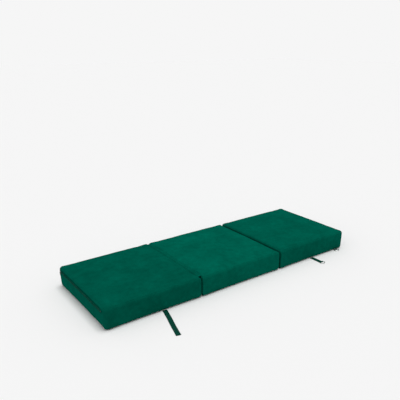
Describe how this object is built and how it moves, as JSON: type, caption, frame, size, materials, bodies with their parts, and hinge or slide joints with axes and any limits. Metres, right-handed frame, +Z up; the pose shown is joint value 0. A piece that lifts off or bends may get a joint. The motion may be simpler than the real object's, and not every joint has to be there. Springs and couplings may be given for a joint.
{
  "type": "fold out guest bed",
  "caption": "Upholstered foam blocks hinged in a row that fold up into a strapped ottoman and lie flat as a single guest bed, with zipped covers and a carry handle.",
  "frame": {"origin": "on the floor under the middle of the unfolded bed", "axes": "+X from the foot block to the head block, +Z up, -Y towards the near side"},
  "size_m": [1.8846, 1.1602, 0.1359],
  "materials": {
    "velvet": "velvet",
    "foam": "open-cell foam",
    "webbing": "woven webbing",
    "zip_tape": "woven",
    "zip_coil": "satin",
    "zip_metal": "satin",
    "ring_steel": "bright"
  },
  "bodies": {
    "foot_block": {"foot_foam_core": "foam", "foot_top_panel": "velvet", "foot_side_band": "velvet", "foot_bottom_panel": "velvet", "foot_zip_tape": "zip_tape", "foot_zip_chain": "zip_coil", "foot_zip_stops": "zip_metal", "foot_hinge_strip": "velvet", "near_foot_strap_tab": "webbing", "far_foot_strap_tab": "webbing"},
    "middle_block": {"middle_foam_core": "foam", "middle_top_panel": "velvet", "middle_side_band": "velvet", "middle_bottom_panel": "velvet", "middle_zip_tape": "zip_tape", "middle_zip_chain": "zip_coil", "middle_zip_stops": "zip_metal", "head_hinge_strip": "velvet", "carry_handle": "velvet", "handle_near_patch": "velvet", "handle_far_patch": "velvet"},
    "head_block": {"head_foam_core": "foam", "head_top_panel": "velvet", "head_side_band": "velvet", "head_bottom_panel": "velvet", "head_zip_tape": "zip_tape", "head_zip_chain": "zip_coil", "head_zip_stops": "zip_metal", "near_head_strap_tab": "webbing", "far_head_strap_tab": "webbing", "corner_loop": "webbing"},
    "foot_zip_slider": {"foot_zip_slider": "zip_metal"},
    "foot_zip_pull": {"foot_zip_pull": "zip_metal"},
    "middle_zip_slider": {"middle_zip_slider": "zip_metal"},
    "middle_zip_pull": {"middle_zip_pull": "zip_metal"},
    "head_zip_slider": {"head_zip_slider": "zip_metal"},
    "head_zip_pull": {"head_zip_pull": "zip_metal"},
    "near_foot_strap": {"near_foot_strap": "webbing"},
    "near_foot_strap_tail": {"near_foot_strap_tail": "webbing"},
    "near_head_strap": {"near_head_strap": "webbing"},
    "near_head_ring": {"near_head_ring": "ring_steel"},
    "far_foot_strap": {"far_foot_strap": "webbing"},
    "far_foot_strap_tail": {"far_foot_strap_tail": "webbing"},
    "far_head_strap": {"far_head_strap": "webbing"},
    "far_head_ring": {"far_head_ring": "ring_steel"},
    "corner_ring": {"corner_ring": "ring_steel"}
  },
  "joints": [
    {"name": "fold_middle", "type": "hinge", "parent": "foot_block", "child": "middle_block", "pos_m": [-0.314, 0, 0.13615], "axis": [0, -1, 0], "range_deg": [0, 178.5], "deforming": ["foot_hinge_strip"]},
    {"name": "fold_head", "type": "hinge", "parent": "middle_block", "child": "head_block", "pos_m": [0.312, 0, -0.00015], "axis": [0, 1, 0], "range_deg": [0, 178.5], "deforming": ["head_hinge_strip"]},
    {"name": "near_foot_strap_lift", "type": "hinge", "parent": "foot_block", "child": "near_foot_strap", "pos_m": [-0.575, -0.33, 0.0016], "axis": [-1, 0, 0], "range_deg": [0, 90]},
    {"name": "near_foot_strap_fold", "type": "hinge", "parent": "near_foot_strap", "child": "near_foot_strap_tail", "pos_m": [-0.63095, -0.52514, -0.0027], "axis": [0.9613, -0.2756, 0], "range_deg": [0, 180]},
    {"name": "near_head_strap_hang", "type": "hinge", "parent": "head_block", "child": "near_head_strap", "pos_m": [0.619, -0.33, 0], "axis": [1, 0, 0], "range_deg": [0, 90]},
    {"name": "near_head_ring_swivel", "type": "hinge", "parent": "near_head_strap", "child": "near_head_ring", "pos_m": [0.619, -0.41, 0.0039], "axis": [1, 0, 0], "range_deg": [-100, 0]},
    {"name": "far_foot_strap_lift", "type": "hinge", "parent": "foot_block", "child": "far_foot_strap", "pos_m": [-0.575, 0.33, 0.0016], "axis": [1, 0, 0], "range_deg": [0, 90]},
    {"name": "far_foot_strap_fold", "type": "hinge", "parent": "far_foot_strap", "child": "far_foot_strap_tail", "pos_m": [-0.63095, 0.52514, -0.0027], "axis": [-0.9613, -0.2756, 0], "range_deg": [0, 180]},
    {"name": "far_head_strap_hang", "type": "hinge", "parent": "head_block", "child": "far_head_strap", "pos_m": [0.619, 0.33, 0], "axis": [-1, 0, 0], "range_deg": [0, 90]},
    {"name": "far_head_ring_swivel", "type": "hinge", "parent": "far_head_strap", "child": "far_head_ring", "pos_m": [0.619, 0.41, 0.0039], "axis": [-1, 0, 0], "range_deg": [-100, 0]},
    {"name": "corner_ring_swivel", "type": "hinge", "parent": "head_block", "child": "corner_ring", "pos_m": [0.863, -0.3275, 0.0039], "axis": [1, 0, 0], "range_deg": [0, 90]},
    {"name": "foot_zip_travel", "type": "slide", "parent": "foot_block", "child": "foot_zip_slider", "axis": [0, 1, 0], "range_m": [-0.559, 0]},
    {"name": "foot_zip_pull_swing", "type": "hinge", "parent": "foot_zip_slider", "child": "foot_zip_pull", "pos_m": [-0.94015, 0.2797, 0.108], "axis": [0, -1, 0], "range_deg": [-100, 0]},
    {"name": "middle_zip_travel", "type": "slide", "parent": "middle_block", "child": "middle_zip_slider", "axis": [1, 0, 0], "range_m": [-0.559, 0]},
    {"name": "middle_zip_pull_swing", "type": "hinge", "parent": "middle_zip_slider", "child": "middle_zip_pull", "pos_m": [0.2777, 0.33015, 0.028], "axis": [-1, 0, 0], "range_deg": [-100, 0]},
    {"name": "head_zip_travel", "type": "slide", "parent": "head_block", "child": "head_zip_slider", "axis": [0, -1, 0], "range_m": [-0.559, 0]},
    {"name": "head_zip_pull_swing", "type": "hinge", "parent": "head_zip_slider", "child": "head_zip_pull", "pos_m": [0.94015, -0.2797, 0.028], "axis": [0, 1, 0], "range_deg": [-100, 0]}
  ],
  "couplings": [
    {"joint": "fold_head", "follows": "fold_middle", "ratio": 1},
    {"joint": "near_foot_strap_fold", "follows": "near_foot_strap_lift", "ratio": 2},
    {"joint": "near_head_strap_hang", "follows": "fold_middle", "ratio": 0.5042},
    {"joint": "far_foot_strap_fold", "follows": "far_foot_strap_lift", "ratio": 2},
    {"joint": "far_head_strap_hang", "follows": "fold_middle", "ratio": 0.5042},
    {"joint": "corner_ring_swivel", "follows": "fold_middle", "ratio": 0.5042}
  ]
}
